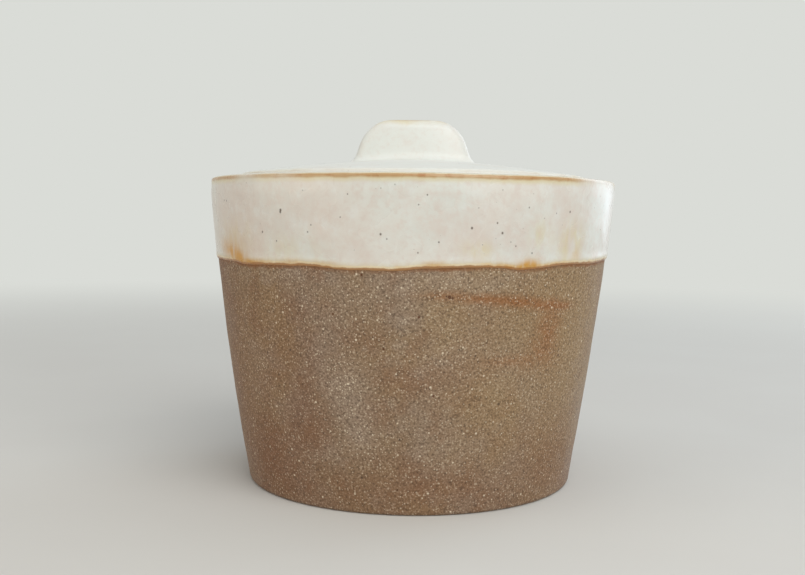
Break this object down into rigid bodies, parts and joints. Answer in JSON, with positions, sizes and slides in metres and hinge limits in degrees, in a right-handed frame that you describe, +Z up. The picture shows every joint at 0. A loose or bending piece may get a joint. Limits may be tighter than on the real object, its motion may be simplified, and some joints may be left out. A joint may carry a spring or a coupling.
{
  "type": "miso jar",
  "caption": "Tapered round stoneware jar with a white-glazed upper band and an inset domed lid lifted by a rounded tab handle, for keeping miso paste.",
  "frame": {"origin": "middle of the foot, on the surface that the jar stands on", "axes": "+Z up along the jar's axis, through the lid; +X along the handle's length; the pictured side faces -Y"},
  "size_m": [0.1358, 0.1358, 0.1208],
  "materials": {
    "clay": "matte",
    "white_glaze": "satin"
  },
  "bodies": {
    "jar": {"base_slab": "clay", "jar_wall": "clay", "seat_ring": "clay", "outer_glaze": "white_glaze", "rim_glaze": "white_glaze", "inner_glaze": "white_glaze"},
    "lid": {"lid_plate": "clay", "lid_handle": "clay", "lid_glaze": "white_glaze", "lid_under_glaze": "white_glaze"}
  },
  "joints": [
    {"name": "lid_lift", "type": "slide", "parent": "jar", "child": "lid", "axis": [0, 0, 1], "range_m": [0, 0.08]}
  ]
}
